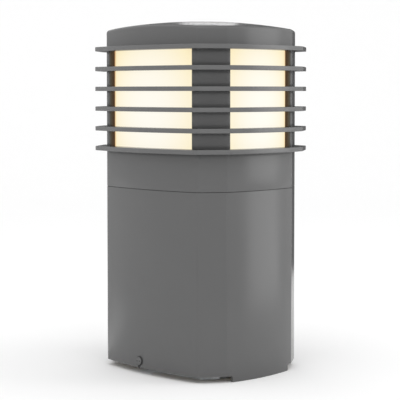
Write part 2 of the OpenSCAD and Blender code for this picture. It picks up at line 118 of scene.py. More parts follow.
def meetArc(normal, reach, centre, radius, onRight):
    # where the line normal.p = reach cuts a circle
    along = Vector((-normal.y, normal.x))
    foot = normal * reach - centre
    b = foot.dot(along)
    root = math.sqrt(b * b - foot.length_squared + radius * radius)
    t = -b - root if onRight else -b + root
    return normal * reach + along * t


def arcAbout(centre, radius, start, end, count):
    # points along an arc, both ends included
    points = []
    for i in range(count + 1):
        a = start + (end - start) * i / count
        points.append(Vector(centre) + Vector((math.cos(a), math.sin(a))) * radius)
    return points


def roundBetween(centre, start, end, steps):
    a, b = start - centre, end - centre
    turn = -a.angle_signed(b)
    points = []
    for i in range(steps + 1):
        t = turn * i / steps
        points.append(centre + Vector((
            a.x * math.cos(t) - a.y * math.sin(t),
            a.x * math.sin(t) + a.y * math.cos(t),
        )))
    return points


def filletAt(centre, radius, reach, bend, onRight):
    # the bend's small circle touches the face's arc and the corner's flat from inside
    middle = meetArc(cornerNormal, reach - bend, centre, radius - bend, onRight)
    return {
        "centre": middle,
        "onArc": centre + (middle - centre).normalized() * radius,
        "onFlat": middle + cornerNormal * bend,
    }


def quarterOutline(face, corner, bend):
    # points of the first quadrant, from (x, 0) round to (0, y), with both bends rounded
    narrowCentre = Vector((plan["halfLength"] - plan["narrowRadius"], 0))
    wideCentre = Vector((0, plan["halfWidth"] - plan["wideRadius"]))
    rNarrow = plan["narrowRadius"] - face
    rWide = plan["wideRadius"] - face
    reach = cornerReach - corner
    low = filletAt(narrowCentre, rNarrow, reach, bend, True)
    high = filletAt(wideCentre, rWide, reach, bend, False)
    end = math.atan2(low["onArc"].y - narrowCentre.y, low["onArc"].x - narrowCentre.x)
    points = arcAbout(narrowCentre, rNarrow, 0, end, stretches["narrow"])[:-1]
    points += roundBetween(low["centre"], low["onArc"], low["onFlat"], stretches["bend"])
    for i in range(1, stretches["flat"]):
        points.append(low["onFlat"].lerp(high["onFlat"], i / stretches["flat"]))
    points += roundBetween(high["centre"], high["onFlat"], high["onArc"], stretches["bend"])
    start = math.atan2(high["onArc"].y - wideCentre.y, high["onArc"].x - wideCentre.x)
    return points + arcAbout(wideCentre, rWide, start, math.pi / 2, stretches["wide"])[1:]


def roundCorner(before, corner, after, radius):
    # an arc that touches both straight stretches that meet at the corner
    a, b = (before - corner).normalized(), (after - corner).normalized()
    half = a.angle(b) / 2
    centre = corner + (a + b).normalized() * (radius / math.sin(half))
    reach = radius / math.tan(half)
    return roundBetween(centre, corner + a * reach, corner + b * reach, stretches["bend"])


def mirrored(quarter):
    half = quarter + [Vector((-p.x, p.y)) for p in reversed(quarter[:-1])]
    return half + [Vector((p.x, -p.y)) for p in reversed(half[1:-1])]


def outline(face, corner, bend):
    return mirrored(quarterOutline(face, corner, bend))


# The second post stands in the first quadrant, and its near edges are the windows' edges
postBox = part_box("corner_post_2")
post = {
    "windowX": postBox[0].x,
    "windowY": postBox[0].y,
    "innerBend": 0.003,
    "edge": 0.0004,
    "clear": 0.0001,      # no point of a post's outline lies nearer to a window's edge
}


def steppedOutline(face, corner, step, bend, innerBend):
    # behind the faces it runs to the windows' edges, then it steps in behind each corner post
    edgeX, edgeY = post["windowX"] - step, post["windowY"] - step
    reach = cornerReach - corner
    lowIn = Vector(((reach - edgeY * cornerNormal.y) / cornerNormal.x, edgeY))
    highIn = Vector((edgeX, (reach - edgeX * cornerNormal.x) / cornerNormal.y))
    lowOut = Vector((narrowX(edgeY, face), edgeY))
    highOut = Vector((edgeX, wideY(edgeX, face)))
    narrowCount, wideCount = stretches["narrow"], stretches["wide"] - 1
    narrowArc = [edgeY * i / narrowCount for i in range(narrowCount)]
    narrowArc = [Vector((narrowX(y, face), y)) for y in narrowArc]
    wideArc = [edgeX * i / wideCount for i in range(wideCount - 1, -1, -1)]
    wideArc = [Vector((x, wideY(x, face))) for x in wideArc]
    quarter = narrowArc + roundCorner(narrowArc[-1], lowOut, lowIn, bend)
    quarter += roundCorner(lowOut, lowIn, highIn, innerBend)
    quarter += roundCorner(lowIn, highIn, highOut, innerBend)
    quarter += roundCorner(highIn, highOut, wideArc[0], bend) + wideArc
    return mirrored(quarter)


def linkMesh(name, bm):
    mesh = bpy.data.meshes.new(name)
    bm.to_mesh(mesh)
    bm.free()
    obj = bpy.data.objects.new(name, mesh)
    bpy.context.scene.collection.objects.link(obj)
    return obj


def sweepOutlines(name, rows):
    # each row is (points, height); the last row joins the first
    bm = bmesh.new()
    rings = [[bm.verts.new((p.x, p.y, z)) for p in points] for points, z in rows]
    count = len(rings[0])
    for i, ring in enumerate(rings):
        after = rings[(i + 1) % len(rings)]
        for k in range(count):
            n = (k + 1) % count
            bm.faces.new((ring[k], ring[n], after[n], after[k]))
    bmesh.ops.recalc_face_normals(bm, faces=bm.faces)
    return linkMesh(name, bm)


def bendBehind(face, least):
    # a bend tightens by as much as its outline lies behind the faces
    return max(plan["bendRadius"] - face, least)


def sweepProfile(name, profile):
    # each profile point is (inset behind the faces, inset behind the corners, height)
    rows = []
    for face, corner, height in profile:
        rows.append((outline(face, corner, bendBehind(face, plan["leastBend"])), height))
    return sweepOutlines(name, rows)


def prism(name, ends):
    # a closed solid between two matching rings of places
    bm = bmesh.new()
    first, second = [[bm.verts.new(place) for place in end] for end in ends]
    bm.faces.new(list(reversed(first)))
    bm.faces.new(second)
    for k in range(len(first)):
        n = (k + 1) % len(first)
        bm.faces.new((first[k], first[n], second[n], second[k]))
    bmesh.ops.recalc_face_normals(bm, faces=bm.faces)
    return linkMesh(name, bm)


def extrudeOutline(name, points, low, high):
    return prism(name, [[(p.x, p.y, z) for p in points] for z in (low, high)])


def steppedCutter(face, corner, low, high):
    bend = plan["leastBend"]
    return extrudeOutline("steppedCut", steppedOutline(face, corner, 0, bend, bend), low, high)


def applyModifiers(obj):
    graph = bpy.context.evaluated_depsgraph_get()
    mesh = bpy.data.meshes.new_from_object(obj.evaluated_get(graph))
    obj.modifiers.clear()
    old = obj.data
    obj.data = mesh
    bpy.data.meshes.remove(old)


def softenEdges(obj, width, segments=2, angle=35):
    bevel = obj.modifiers.new("edges", "BEVEL")
    bevel.width = width
    bevel.segments = segments
    bevel.limit_method = "ANGLE"
    bevel.angle_limit = math.radians(angle)
    applyModifiers(obj)


def smoothByAngle(obj, angle=30):
    obj.data.shade_smooth()
    obj.data.set_sharp_from_angle(angle=math.radians(angle))


def cutAway(obj, cutter, operation="DIFFERENCE"):
    modifier = obj.modifiers.new("cut", "BOOLEAN")
    modifier.operation = operation
    modifier.solver = "EXACT"
    modifier.object = cutter
    applyModifiers(obj)
    bpy.data.objects.remove(cutter)


def zCylinder(name, x, y, low, high, radius, sides=40):
    bm = bmesh.new()
    ends = {"radius1": radius, "radius2": radius}
    bmesh.ops.create_cone(bm, cap_ends=True, segments=sides, depth=high - low, **ends)
    bmesh.ops.translate(bm, verts=bm.verts, vec=(x, y, (low + high) / 2))
    return linkMesh(name, bm)


def boxMesh(name, low, high):
    bm = bmesh.new()
    bmesh.ops.create_cube(bm, size=1)
    for v in bm.verts:
        v.co = Vector([low[i] + (v.co[i] + 0.5) * (high[i] - low[i]) for i in range(3)])
    return linkMesh(name, bm)


def joined(parts):
    # one object from several, the first one's name kept
    bm = bmesh.new()
    for part in parts:
        bm.from_mesh(part.data)
    bm.to_mesh(parts[0].data)
    bm.free()
    for part in parts[1:]:
        bpy.data.objects.remove(part)
    return parts[0]


def makeGroup(name, inputs, outputs):
    tree = bpy.data.node_groups.new(name, "ShaderNodeTree")
    for label, kind, value in inputs:
        socket = tree.interface.new_socket(label, in_out="INPUT", socket_type=kind)
        socket.default_value = value
    for label, kind in outputs:
        tree.interface.new_socket(label, in_out="OUTPUT", socket_type=kind)
    return tree, tree.nodes.new("NodeGroupInput"), tree.nodes.new("NodeGroupOutput")


def addNode(tree, kind, settings=None, values=None):
    node = tree.nodes.new(kind)
    for key, value in (settings or {}).items():
        setattr(node, key, value)
    for key, value in (values or {}).items():
        node.inputs[key].default_value = value
    return node


def mathNode(tree, operation, a, b=None, clamp=False):
    node = addNode(tree, "ShaderNodeMath", {"operation": operation, "use_clamp": clamp})
    for i, source in enumerate((a, b)):
        if source is None:
            continue
        if isinstance(source, (int, float)):
            node.inputs[i].default_value = source
        else:
            tree.links.new(source, node.inputs[i])
    return node.outputs[0]


def mixColour(tree, factor, first, second):
    node = addNode(tree, "ShaderNodeMix", {"data_type": "RGBA"})
    colours = [s for s in node.inputs if s.type == "RGBA"]
    tree.links.new(factor, node.inputs[0])
    for socket, source in zip(colours, (first, second)):
        if isinstance(source, (tuple, list)):
            socket.default_value = source
        else:
            tree.links.new(source, socket)
    return [s for s in node.outputs if s.type == "RGBA"][0]


def mapRange(tree, source, came, goes=(0.0, 1.0), kind="LINEAR"):
    # spreads one range of values over another, and holds its ends
    node = addNode(tree, "ShaderNodeMapRange", {"interpolation_type": kind})
    for i, value in enumerate((*came, *goes), 1):
        node.inputs[i].default_value = value
    tree.links.new(source, node.inputs[0])
    return node.outputs[0]


def makeGrainGroup():
    # a fine orange-peel height, and a slow mottle for colour and gloss
    tree, start, end = makeGroup("coatGrain", [
        ("Vector", "NodeSocketVector", (0, 0, 0)),
        ("Grain Scale", "NodeSocketFloat", 900.0),
        ("Mottle Scale", "NodeSocketFloat", 14.0),
    ], [("Height", "NodeSocketFloat"), ("Mottle", "NodeSocketFloat")])
    fine = addNode(tree, "ShaderNodeTexNoise", values={"Detail": 2.0, "Roughness": 0.55})
    coarse = addNode(tree, "ShaderNodeTexNoise", values={"Detail": 3.0, "Roughness": 0.6})
    for node, size in ((fine, "Grain Scale"), (coarse, "Mottle Scale")):
        tree.links.new(start.outputs["Vector"], node.inputs["Vector"])
        tree.links.new(start.outputs[size], node.inputs["Scale"])
    tree.links.new(fine.outputs[0], end.inputs["Height"])
    tree.links.new(coarse.outputs[0], end.inputs["Mottle"])
    return tree


# where the painted edge highlight starts, and how it breaks up
edgeHighlight = {"pointiness": (0.53, 0.62), "breakup": 60.0, "detail": 3.0}


def makeEdgeHighlightGroup():
    # painted highlight: lighter along sharp outer edges, from the mesh's own curvature
    tree, start, end = makeGroup("paintedEdgeHighlight", [
        ("Vector", "NodeSocketVector", (0, 0, 0)),
        ("Amount", "NodeSocketFloat", 0.5),
    ], [("Mask", "NodeSocketFloat")])
    geometry = addNode(tree, "ShaderNodeNewGeometry")
    settings = {"Scale": edgeHighlight["breakup"], "Detail": edgeHighlight["detail"]}
    breakup = addNode(tree, "ShaderNodeTexNoise", values=settings)
    tree.links.new(start.outputs["Vector"], breakup.inputs["Vector"])
    sharp = mapRange(tree, geometry.outputs["Pointiness"], edgeHighlight["pointiness"])
    broken = mathNode(tree, "MULTIPLY", sharp, breakup.outputs[0])
    mask = mathNode(tree, "MULTIPLY", broken, start.outputs["Amount"], True)
    tree.links.new(mask, end.inputs["Mask"])
    return tree


grainGroup = makeGrainGroup()
edgeHighlightGroup = makeEdgeHighlightGroup()


def newMaterial(name):
    material = bpy.data.materials.new(name)
    material.use_nodes = True
    tree = material.node_tree
    shader = tree.nodes["Principled BSDF"]
    coords = addNode(tree, "ShaderNodeTexCoord").outputs["Object"]
    return material, tree, shader, coords


def placeGroup(tree, group, coords, values=None):
    node = addNode(tree, "ShaderNodeGroup", {"node_tree": group})
    for key, value in (values or {}).items():
        node.inputs[key].default_value = value
    tree.links.new(coords, node.inputs["Vector"])
    return node


def bumpFrom(tree, shader, height, distance, strength=0.5):
    bump = addNode(tree, "ShaderNodeBump", values={"Distance": distance, "Strength": strength})
    tree.links.new(height, bump.inputs["Height"])
    tree.links.new(bump.outputs["Normal"], shader.inputs["Normal"])


def tinted(colour, share):
    return tuple(c * share for c in colour) + (1,)


# The mottle's own values mostly lie in this range
mottleRange = (0.3, 0.7)


def addGloss(tree, shader, mottle, roughness):
    tree.links.new(mapRange(tree, mottle, mottleRange, roughness), shader.inputs["Roughness"])


coat = {
    "colour": (0.09, 0.09, 0.091),
    "light": (0.1, 0.1, 0.1),
    # the colour of the painted edge highlight
    "edge": (0.15, 0.15, 0.15, 1),
    "edgeHighlight": 0.5,
    "roughness": (0.2, 0.25),
    "grain": {"Grain Scale": 850.0, "Mottle Scale": 11.0},
    "depth": 0.00006,
    "bump": 0.6,
}


# paintedLightShare scales the coat's colours: a lighter or darker copy of the same paint, as painted light
# or painted shade
def makeCoat(name, paintedLightShare=1.0):
    material, tree, shader, coords = newMaterial(name)
    grain = placeGroup(tree, grainGroup, coords, coat["grain"])
    # painted highlight along the sharp outer edges, mixed over the coat's colour
    edgeHighlightMask = placeGroup(tree, edgeHighlightGroup, coords, {"Amount": coat["edgeHighlight"]})
    mottle = grain.outputs["Mottle"]
    body = mixColour(tree, mottle, tinted(coat["colour"], paintedLightShare), tinted(coat["light"], paintedLightShare))
    body = mixColour(tree, edgeHighlightMask.outputs["Mask"], body, coat["edge"])
    tree.links.new(body, shader.inputs["Base Color"])
    addGloss(tree, shader, mottle, coat["roughness"])
    bumpFrom(tree, shader, grain.outputs["Height"], coat["depth"], coat["bump"])
    return material


solids = {
    "metal": {"mottle": 40.0, "dark": 0.82, "spread": 0.14, "metallic": 1.0},
    "plastic": {"mottle": 30.0, "dark": 0.88, "spread": 0.1, "metallic": 0.0},
}


def makeSolid(kind, name, colour, roughness, grainScale=600.0, depth=0.00004):
    s = solids[kind]
    material, tree, shader, coords = newMaterial(name)
    scales = {"Grain Scale": grainScale, "Mottle Scale": s["mottle"]}
    grain = placeGroup(tree, grainGroup, coords, scales)
    mottle = grain.outputs["Mottle"]
    body = mixColour(tree, mottle, tinted(colour, s["dark"]), tinted(colour, 1))
    tree.links.new(body, shader.inputs["Base Color"])
    shader.inputs["Metallic"].default_value = s["metallic"]
    addGloss(tree, shader, mottle, (roughness, roughness + s["spread"]))
    bumpFrom(tree, shader, grain.outputs["Height"], depth)
    return material


zinc = {
    "spangle": 130.0,
    "dark": (0.42, 0.44, 0.46, 1),
    "light": (0.66, 0.68, 0.7, 1),
    "roughness": (0.32, 0.52),
    "grain": 700.0,
    "depth": 0.00005,
}


def makeGalvanised():
    material, tree, shader, coords = newMaterial("galvanisedSheet")
    spangle = addNode(tree, "ShaderNodeTexVoronoi", values={"Scale": zinc["spangle"]})
    tree.links.new(coords, spangle.inputs["Vector"])
    tone = addNode(tree, "ShaderNodeSeparateColor")
    tree.links.new(spangle.outputs["Color"], tone.inputs[0])
    body = mixColour(tree, tone.outputs[0], zinc["dark"], zinc["light"])
    tree.links.new(body, shader.inputs["Base Color"])
    shader.inputs["Metallic"].default_value = 1.0
    gloss = mapRange(tree, tone.outputs[1], (0.0, 1.0), zinc["roughness"])
    tree.links.new(gloss, shader.inputs["Roughness"])
    grain = placeGroup(tree, grainGroup, coords, {"Grain Scale": zinc["grain"]})
    bumpFrom(tree, shader, grain.outputs["Height"], zinc["depth"])
    return material


glow = {
    "lampHeight": 0.294,
    "reach": 0.085,            # height over which the light fades
    "strength": 1.0,
    "upShare": 0.3,
    "sideShare": 0.38,
    "bend": (0.9, 0.985),      # where a window bends, from its middle to the post
    "bendShare": 0.68,
    "unlit": ((0.02, 0.018, 0.015, 1), (0.03, 0.027, 0.022, 1)),
    "roughness": 0.4,
    "specular": 0.25,
    "grain": {"Grain Scale": 500.0, "Mottle Scale": 25.0},
    "depth": 0.00003,
    "bump": 0.4,
    "shades": (
        (0.0, (0.965, 0.935, 0.85, 1)),
        (0.45, (0.955, 0.84, 0.56, 1)),
        (0.72, (0.86, 0.66, 0.38, 1)),
        (1.0, (0.56, 0.31, 0.13, 1)),
    ),
}


def makeOpal():
    # lit from inside: whitest by the lamp, warmer towards the top and bottom, amber where it bends
    material, tree, shader, coords = newMaterial("opalGlow")
    share = addNode(tree, "ShaderNodeAttribute", {"attribute_name": "towardsPost"}).outputs["Fac"]
    parts = addNode(tree, "ShaderNodeSeparateXYZ")
    tree.links.new(coords, parts.inputs[0])
    height = mathNode(tree, "SUBTRACT", parts.outputs[2], glow["lampHeight"])
    height = mathNode(tree, "DIVIDE", height, glow["reach"])
    squares = [mathNode(tree, "MULTIPLY", source, source) for source in (height, share)]
    up = mathNode(tree, "MULTIPLY", squares[0], glow["upShare"])
    side = mathNode(tree, "MULTIPLY", squares[1], glow["sideShare"])
    bent = mapRange(tree, share, glow["bend"], (0.0, glow["bendShare"]), "SMOOTHSTEP")
    tone = mathNode(tree, "ADD", mathNode(tree, "ADD", up, side), bent, True)
    ramp = addNode(tree, "ShaderNodeValToRGB")
    stops = ramp.color_ramp.elements
    for place, colour in glow["shades"][1:-1]:
        stops.new(place)
    for stop, (place, colour) in zip(stops, glow["shades"]):
        stop.position, stop.color = place, colour
    tree.links.new(tone, ramp.inputs[0])
    tree.links.new(ramp.outputs[0], shader.inputs["Emission Color"])
    shader.inputs["Emission Strength"].default_value = glow["strength"]
    grain = placeGroup(tree, grainGroup, coords, glow["grain"])
    base = mixColour(tree, grain.outputs["Mottle"], *glow["unlit"])
    tree.links.new(base, shader.inputs["Base Color"])
    shader.inputs["Roughness"].default_value = glow["roughness"]
    shader.inputs["Specular IOR Level"].default_value = glow["specular"]
    bumpFrom(tree, shader, grain.outputs["Height"], glow["depth"], glow["bump"])
    return material


finishes = {
    "coat": makeCoat("powderCoat"),
    # painted light: the same coat, made lighter on the fins
    "litFinCoat": makeCoat("litFinCoat", 1.2),
    # painted shade: the same coat, made darker on the posts, for the shade under the fins
    "shadedPostCoat": makeCoat("shadedPostCoat", 0.82),
    # painted light: the same coat, made a little lighter on the screw heads
    "litScrewCoat": makeCoat("litCoatedScrew", 1.05),
    "opal": makeOpal(),
    "galvanised": makeGalvanised(),
    "steel": makeSolid("metal", "stainlessSteel", (0.62, 0.62, 0.63), 0.24, 1400.0),
    "brass": makeSolid("metal", "plainBrass", (0.72, 0.52, 0.23), 0.26, 1400.0),
    "nickel": makeSolid("metal", "nickelPlate", (0.72, 0.71, 0.69), 0.2, 1600.0),
    "rubber": makeSolid("plastic", "blackRubber", (0.03, 0.03, 0.03), 0.6, 900.0, 0.00008),
    "porcelain": makeSolid("plastic", "porcelain", (0.82, 0.8, 0.74), 0.14),
    "whitePlastic": makeSolid("plastic", "whitePlastic", (0.8, 0.8, 0.78), 0.3),
    "brown": makeSolid("plastic", "brownLead", (0.16, 0.07, 0.03), 0.42),
    "blue": makeSolid("plastic", "blueLead", (0.03, 0.1, 0.4), 0.42),
    "green": makeSolid("plastic", "greenLead", (0.1, 0.35, 0.05), 0.42),
}
print("materials made:", len(finishes))


def finishPiece(obj, finish, body, nodes):
    obj.data.materials.clear()
    obj.data.materials.append(finishes[finish])
    smoothByAngle(obj)
    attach(obj, body)
    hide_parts(*nodes)


def makeStackTree():
    tree = bpy.data.node_groups.new("stackUpwards", "GeometryNodeTree")
    tree.interface.new_socket("Geometry", in_out="INPUT", socket_type="NodeSocketGeometry")
    tree.interface.new_socket("Count", in_out="INPUT", socket_type="NodeSocketInt")
    tree.interface.new_socket("Pitch", in_out="INPUT", socket_type="NodeSocketFloat")
    tree.interface.new_socket("Finish", in_out="INPUT", socket_type="NodeSocketMaterial")
    tree.interface.new_socket("Geometry", in_out="OUTPUT", socket_type="NodeSocketGeometry")
    start = tree.nodes.new("NodeGroupInput")
    end = tree.nodes.new("NodeGroupOutput")
    step = tree.nodes.new("ShaderNodeCombineXYZ")
    line = tree.nodes.new("GeometryNodeMeshLine")
    place = tree.nodes.new("GeometryNodeInstanceOnPoints")
    real = tree.nodes.new("GeometryNodeRealizeInstances")
    paint = tree.nodes.new("GeometryNodeSetMaterial")
    link = tree.links.new
    link(start.outputs["Pitch"], step.inputs["Z"])
    link(step.outputs[0], line.inputs["Offset"])
    link(start.outputs["Count"], line.inputs["Count"])
    link(line.outputs[0], place.inputs["Points"])
    link(start.outputs["Geometry"], place.inputs["Instance"])
    link(place.outputs[0], real.inputs[0])
    link(real.outputs[0], paint.inputs["Geometry"])
    link(start.outputs["Finish"], paint.inputs["Material"])
    link(paint.outputs[0], end.inputs[0])
    return tree


stackTree = makeStackTree()


def stackPiece(obj, count, pitch, finish):
    modifier = obj.modifiers.new("stack", "NODES")
    modifier.node_group = stackTree
    values = {"Count": count, "Pitch": pitch, "Finish": finishes[finish]}
    for item in stackTree.interface.items_tree:
        if item.in_out == "INPUT" and item.name in values:
            modifier[item.identifier] = values[item.name]
    applyModifiers(obj)


rods = {
    "radius": 0.002,
    "holeRadius": 0.0022,
    "tappedRadius": 0.00205,
    "tappedDepth": 0.0135,
}


def rodPlaces():
    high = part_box("tie_rods")[1]
    x, y = high.x - rods["radius"], high.y - rods["radius"]
    return [(x, y), (-x, y), (-x, -y), (x, -y)]


def drillRods(obj, low, high, radius=rods["holeRadius"]):
    for x, y in rodPlaces():
        cutAway(obj, zCylinder("drill", x, y, low, high, radius))


tube = {
    "wall": 0.003,
    "reliefHeight": 0.007,
    "tongueHalf": 0.045,
    "tongueRadius": 0.00275,
    "channelRadius": 0.005,
    "channelFoot": 0.018,
    "channelDrop": 0.0003,      # how far the rods' channels end below the tube's top
    "slotRadius": 0.0027,
    "slotDepths": (0.078, 0.096),
    "plainFrom": 0.022,         # no cut reaches above this height
    "edge": 0.0005,
    "cutPast": 0.01,
    "cutLength": 0.2,
}


def reliefCutter(side):
    # below the wide side's lower edge, with a round inside corner beside the tongue
    r, h, start = tube["tongueRadius"], tube["reliefHeight"], tube["tongueHalf"]
    far, foot = tube["cutLength"], -tube["cutPast"]
    points = [(start, foot), (far, foot), (far, h)]
    points += arcAbout((start + r, h - r), r, math.pi / 2, math.pi, 8)
    return prism("relief", [[(x, y * side, z) for y, z in points] for x in (far, -far)])


def slotCutter(node, side):
    low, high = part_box(node)
    x, z = (low.x + high.x) / 2, (low.z + high.z) / 2
    r, foot = tube["slotRadius"], -tube["cutPast"]
    near, far = [depth * side for depth in tube["slotDepths"]]
    points = [Vector((x + r, foot))] + arcAbout((x, z), r, 0, math.pi, 16) + [Vector((x - r, foot))]
    return prism("slot", [[(p.x, y, p.y) for p in points] for y in (far, near)])


def buildTube():
    low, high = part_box("body_tube")
    w, plain = tube["wall"], tube["plainFrom"]
    shell = sweepProfile("tubeShell", [
        (0, 0, high.z), (0, 0, plain), (0, 0, low.z),
        (w, w, low.z), (w, w, plain), (w, w, high.z),
    ])
    for side in (1, -1):
        cutAway(shell, reliefCutter(side))
    cutAway(shell, slotCutter("fixing_screw_front", -1))
    cutAway(shell, slotCutter("fixing_screw_rear", 1))
    softenEdges(shell, tube["edge"])
    foot, top = tube["channelFoot"], high.z - tube["channelDrop"]
    for x, y in rodPlaces():
        cutAway(shell, zCylinder("channel", x, y, foot, top, tube["channelRadius"]), "UNION")
    drillRods(shell, foot - tube["cutPast"], high.z + tube["cutPast"])
    finishPiece(shell, "coat", "housing", ["body_tube"])


head = {
    "cornerWall": 0.0112,
    "spigotFace": 0.0034,
    "spigotCorner": 0.0129,
    "spigotWall": 0.0025,
    "flange": 0.003,
    "ledgeFace": 0.012,
    "ledgeCorner": 0.0175,
    "ledgeDrop": 0.013,
    "spigotHeight": 0.012,
    "edge": 0.0006,
}


def buildCollar():
    low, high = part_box("head_collar")
    bottom = low.z + head["spigotHeight"]
    top = high.z
    ledge = top - head["ledgeDrop"]
    w, cw, t = tube["wall"], head["cornerWall"], head["flange"]
    sf, sc, sw = head["spigotFace"], head["spigotCorner"], head["spigotWall"]
    lf, lc = head["ledgeFace"], head["ledgeCorner"]
    collar = sweepProfile("headCollar", [
        (0, 0, bottom), (sf, sc, bottom), (sf, sc, low.z), (sf + sw, sc + sw, low.z),
        (sf + sw, sc + sw, bottom + t), (w, cw, bottom + t), (w, cw, ledge), (lf, lc, ledge),
        (lf, lc, top), (0, 0, top),
    ])
    cutAway(collar, steppedCutter(w, cw, ledge + t, top + past))
    softenEdges(collar, head["edge"])
    drillRods(collar, bottom - past, top + past)
    finishPiece(collar, "coat", "housing", ["head_collar"])


fins = {"innerFace": 0.0055, "count": 6, "edge": 0.0006, "bend": 0.004}


def buildFins():
    low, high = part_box("louvre_fin_6")
    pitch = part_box("louvre_fin_5")[0].z - low.z
    overhang = high.x - plan["halfLength"]
    fin = extrudeOutline("louvreFins", outline(-overhang, -overhang, fins["bend"]), low.z, high.z)
    cutAway(fin, steppedCutter(fins["innerFace"], head["cornerWall"], low.z - past, high.z + past))
    softenEdges(fin, fins["edge"], 3)
    drillRods(fin, low.z - past, high.z + past)
    stackPiece(fin, fins["count"], pitch, "litFinCoat")
    names = ["louvre_fin_" + str(n) for n in range(1, fins["count"] + 1)]
    finishPiece(fin, "litFinCoat", "housing", names)


def cornerSection():
    # a corner post's outline in the first quadrant: the outer face out, the inner face back
    windowX, windowY, clear = post["windowX"], post["windowY"], post["clear"]

    def stretch(face, corner, bend):
        points = quarterOutline(face, corner, bend)
        inside = [p for p in points if p.x > windowX + clear and p.y > windowY + clear]
        start = Vector((narrowX(windowY, face), windowY))
        end = Vector((windowX, wideY(windowX, face)))
        return [start] + inside + [end]

    outer = stretch(0, 0, plan["bendRadius"])
    inner = stretch(tube["wall"], head["cornerWall"], post["innerBend"])
    return outer + list(reversed(inner))


def buildPosts():
    low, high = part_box("corner_post_1")
    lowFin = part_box("louvre_fin_6")
    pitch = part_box("louvre_fin_5")[0].z - lowFin[0].z
    top = low.z + pitch - (lowFin[1].z - lowFin[0].z)
    section = cornerSection()
    for number, (sx, sy) in enumerate(((1, -1), (1, 1), (-1, 1), (-1, -1)), 1):
        points = [Vector((p.x * sx, p.y * sy)) for p in section]
        piece = extrudeOutline("cornerPost" + str(number), points, low.z, top)
        softenEdges(piece, post["edge"])
        drillRods(piece, low.z - past, high.z + past)
        stackPiece(piece, fins["count"] - 1, pitch, "shadedPostCoat")
        finishPiece(piece, "shadedPostCoat", "housing", ["corner_post_" + str(number)])


diffuser = {
    "face": 0.0065,
    "corner": 0.012,
    "step": 0.0006,
    "wall": 0.0025,
    "bend": 0.003,
    "outerTurn": 0.001,      # where it steps in behind a post, outside and inside
    "innerTurn": 0.0035,
    "lip": 0.0004,
    "edge": 0.0005,
}


def sleeveRows(low, high, lip):
    d = diffuser
    w = d["wall"] + lip
    outer = steppedOutline(
        d["face"] - lip, d["corner"] - lip, d["step"] - lip, d["bend"] + lip, d["outerTurn"])
    inner = steppedOutline(
        d["face"] + w, d["corner"] + w, d["step"] + w, d["bend"] - d["wall"], d["innerTurn"])
    return [(outer, high), (outer, low), (inner, low), (inner, high)]


def buildDiffuser():
    low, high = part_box("diffuser")
    sleeve = sweepOutlines("opalDiffuser", sleeveRows(low.z, high.z, 0))
    softenEdges(sleeve, diffuser["edge"])
    # how far each point is from its window's middle, as a share of the window's half width
    share = sleeve.data.attributes.new("towardsPost", "FLOAT", "POINT")
    for i, v in enumerate(sleeve.data.vertices):
        x, y = abs(v.co.x), abs(v.co.y)
        onNarrow = y < post["windowY"] and x > post["windowX"]
        share.data[i].value = y / post["windowY"] if onNarrow else x / post["windowX"]
    finishPiece(sleeve, "opal", "housing", ["diffuser"])


cap = {
    "domeRadius": 0.6,
    "top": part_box("cap")[1].z,
    "wallTop": 0.004,
    "edge": 0.003,
    "edgeTurn": 80,          # degrees from the wall to the dome
    "edgeSteps": 7,
    "leastBend": 0.0015,
    "chamfer": 0.0004,
    "sealDepth": 0.006,
    "insideRows": (0.12, 0.3, 0.5, 0.7, 0.86, 1.0),
    "outsideRows": (0.97, 0.92, 0.84, 0.72, 0.56, 0.38, 0.2, 0.08),
}


def domeHeight(x, y, depth=0.0):
    r = cap["domeRadius"] - depth
    return cap["top"] - cap["domeRadius"] + math.sqrt(r * r - x * x - y * y)


def buildCap():
    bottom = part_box("cap")[0].z
    bm = bmesh.new()
    e, chamfer = cap["edge"], cap["chamfer"]
    rows = []

    def addRow(inset, corner, height):
        points = outline(inset, corner, bendBehind(inset, cap["leastBend"]))
        rows.append([bm.verts.new((p.x, p.y, height(p))) for p in points])

    def addShrunk(inset, corner, share, depth):
        points = [p * share for p in outline(inset, corner, bendBehind(inset, cap["leastBend"]))]
        rows.append([bm.verts.new((p.x, p.y, domeHeight(p.x, p.y, depth))) for p in points])

    # inside, from the crown outwards and down
    for share in cap["insideRows"]:
        addShrunk(head["ledgeFace"], head["ledgeCorner"], share, cap["wallTop"])
    addRow(head["ledgeFace"], head["ledgeCorner"], lambda p: bottom)
    addRow(chamfer, chamfer, lambda p: bottom)
    addRow(0, 0, lambda p: bottom + chamfer)
    # outside, up the wall and round its top edge
    addRow(0, 0, lambda p: (bottom + domeHeight(p.x, p.y) - e) / 2)
    for i in range(cap["edgeSteps"] + 1):
        a = math.radians(cap["edgeTurn"]) * i / cap["edgeSteps"]
        inset = e * (1 - math.cos(a))
        drop = e * (1 - math.sin(a))
        addRow(inset, inset, lambda p, drop=drop: domeHeight(p.x, p.y) - drop)
    for share in cap["outsideRows"]:
        addShrunk(e, e, share, 0)
    count = len(rows[0])
    for row, after in zip(rows, rows[1:]):
        for k in range(count):
            n = (k + 1) % count
            bm.faces.new((row[k], row[n], after[n], after[k]))
    for row, depth in ((rows[0], cap["wallTop"]), (rows[-1], 0)):
        centre = bm.verts.new((0, 0, domeHeight(0, 0, depth)))
        for k in range(count):
            bm.faces.new((row[k], row[(k + 1) % count], centre))
    bmesh.ops.recalc_face_normals(bm, faces=bm.faces)
    piece = linkMesh("domedCap", bm)
    cutAway(piece, steppedCutter(tube["wall"], head["cornerWall"], bottom - past, bottom + cap["sealDepth"]))
    drillRods(piece, bottom - past, bottom + rods["tappedDepth"], rods["tappedRadius"])
    finishPiece(piece, "coat", "housing", ["cap"])


gasket = {"outside": 0.0008, "inside": 0.0024}


